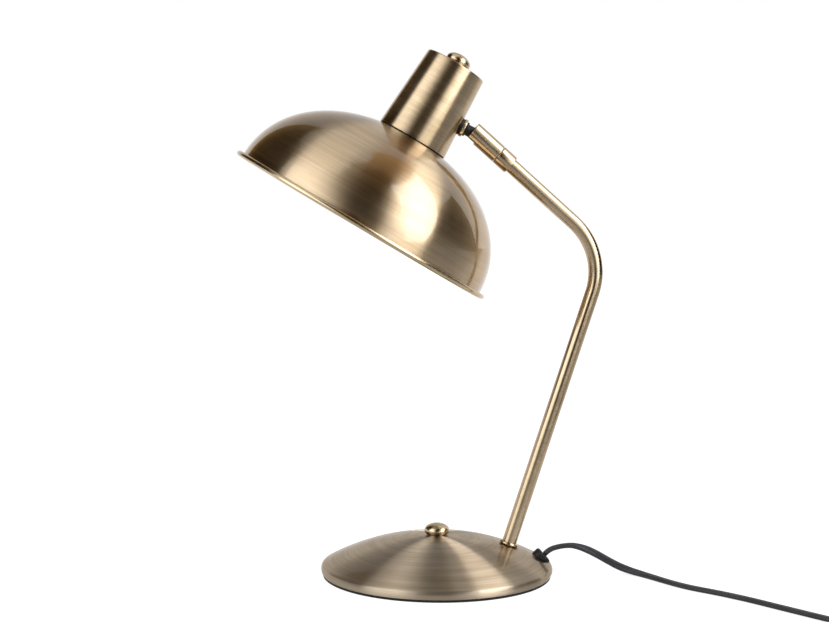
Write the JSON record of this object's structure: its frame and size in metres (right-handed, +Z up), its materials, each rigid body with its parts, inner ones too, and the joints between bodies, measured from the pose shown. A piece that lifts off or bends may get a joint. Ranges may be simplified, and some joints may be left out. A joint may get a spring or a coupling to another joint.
{
  "type": "table lamp",
  "caption": "Desk lamp with a domed weighted base, a bent tube arm, a slotted ball joint and a wide spun-metal shade; a flat mains lead with a rocker switch ends in a two-pin plug.",
  "frame": {"origin": "middle of the foot pad's underside, on the table", "axes": "+Z up; the arm, the joint and the head lie in the XZ plane, with the arm on +X and the shade reaching toward -X; the lead leaves the base toward +X"},
  "size_m": [0.521, 0.2717, 0.3606],
  "materials": {
    "plate": "brushed antique-brass plating under clear lacquer, satin",
    "brass": "fine brushed and lacquered brass, half bright",
    "contact_brass": "plain pressed brass",
    "zinc_steel": "zinc-plated steel",
    "cast_iron": "rough casting",
    "foam": "closed-cell foam, matte black",
    "black_steel": "black oxide, satin",
    "nylon": "natural nylon",
    "jacket": "black flexible PVC, satin",
    "black_plastic": "black moulded plastic, fine grain",
    "rocker_plastic": "off-white moulded plastic",
    "holder_plastic": "cream heat-resistant plastic",
    "bulb_glass": "frosted glass",
    "bulb_aluminium": "rolled screw cap",
    "black_glass": "black insulating glass with a solder tip",
    "pin_plating": "nickel-plated brass"
  },
  "bodies": {
    "lamp": {"base_cover": "plate", "base_plate": "zinc_steel", "base_weight": "cast_iron", "foot_pad": "foam", "base_bolt": "zinc_steel", "base_nut": "zinc_steel", "base_knob": "brass", "arm_tube": "brass", "arm_ring": "brass", "arm_washer": "zinc_steel", "arm_nut": "zinc_steel", "arm_lead": "jacket", "arm_coupling": "brass", "swivel_bush": "brass", "cord_grip": "black_plastic", "cord_front": "jacket", "switch_base": "black_plastic", "switch_cover": "black_plastic", "switch_screws": "zinc_steel", "switch_contact": "contact_brass", "cord_link": "jacket", "cord_coil": "jacket", "cord_tie": "black_plastic", "cord_tail": "jacket", "plug_body": "black_plastic", "plug_pins": "pin_plating"},
    "socket": {"swivel_socket": "brass", "joint_lead": "jacket", "seat_spring": "zinc_steel", "ball_seat": "nylon"},
    "stud": {"ball_stud": "black_steel", "stud_ring": "brass"},
    "head": {"stud_washer": "black_steel", "stud_nut": "zinc_steel", "head_cap": "plate", "cap_knob": "brass", "cap_nipple": "brass", "nipple_nut": "zinc_steel", "head_lead": "jacket", "lampholder": "holder_plastic", "holder_shell": "contact_brass", "holder_contact": "contact_brass", "shade_ring": "holder_plastic", "shade": "plate", "bulb_glass": "bulb_glass", "bulb_cap": "bulb_aluminium", "bulb_contact": "black_glass"},
    "rocker": {"switch_rocker": "rocker_plastic"}
  },
  "joints": [
    {"name": "head_swivel", "type": "hinge", "parent": "lamp", "child": "socket", "pos_m": [0.02649, 0, 0.30272], "axis": [-0.7488, 0, 0.6628], "range_deg": [-150, 150]},
    {"name": "head_tilt", "type": "hinge", "parent": "socket", "child": "stud", "pos_m": [0.02649, 0, 0.30272], "axis": [0, -1, 0], "range_deg": [-14, 30]},
    {"name": "head_roll", "type": "hinge", "parent": "stud", "child": "head", "pos_m": [0.02649, 0, 0.30272], "axis": [-0.8917, 0, 0.4526], "range_deg": [-60, 60]},
    {"name": "switch_rock", "type": "hinge", "parent": "lamp", "child": "rocker", "pos_m": [0.306, -0.1625, 0.0148], "axis": [0, 1, 0], "range_deg": [-14, 0]}
  ]
}
